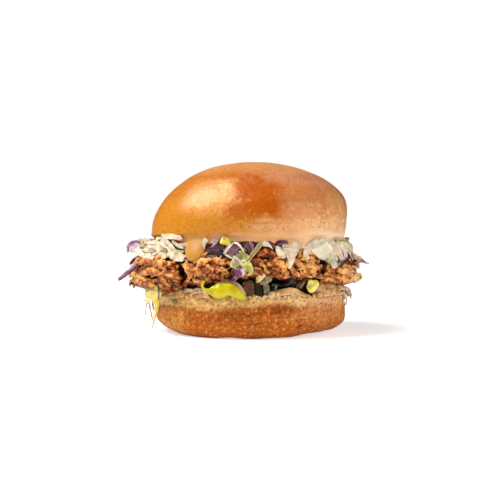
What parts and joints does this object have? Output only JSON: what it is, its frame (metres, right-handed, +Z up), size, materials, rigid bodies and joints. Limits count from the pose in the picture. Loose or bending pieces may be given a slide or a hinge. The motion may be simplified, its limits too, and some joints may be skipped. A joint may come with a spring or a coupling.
{
  "type": "chicken burger",
  "caption": "Fried chicken burger on a glossy brioche bun, with cabbage slaw, burger sauce, shredded lettuce, pickle slices and yellow pepper.",
  "frame": {"origin": "the middle of the heel's flat base, on the table", "axes": "+Z up; -Y towards the side that the picture shows; +X along its longest side, to the right in the picture"},
  "size_m": [0.1327, 0.115, 0.0916],
  "materials": {
    "bun_crust": "matte baked crust with a paler crumb band at its cut edge",
    "glazed_crust": "glossy egg-washed crust",
    "fried_coating": "craggy fried coating, satin with oil",
    "sauce": "smooth thick sauce, wet gloss",
    "cabbage": "dressed white and purple cabbage shreds, wet",
    "pickle": "wet pickled cucumber",
    "yellow_pepper": "glossy pickled pepper skin",
    "pale_pepper": "glossy pale pepper skin",
    "lettuce": "damp shredded lettuce and cabbage"
  },
  "bodies": {
    "root": {"bun_heel": "bun_crust", "bun_crown": "glazed_crust", "fried_fillet": "fried_coating", "burger_sauce": "sauce", "cabbage_slaw": "cabbage", "pickle_low": "pickle", "pickle_high": "pickle", "pepper_long": "yellow_pepper", "pepper_short": "pale_pepper", "lettuce_bed": "lettuce"}
  },
  "joints": []
}
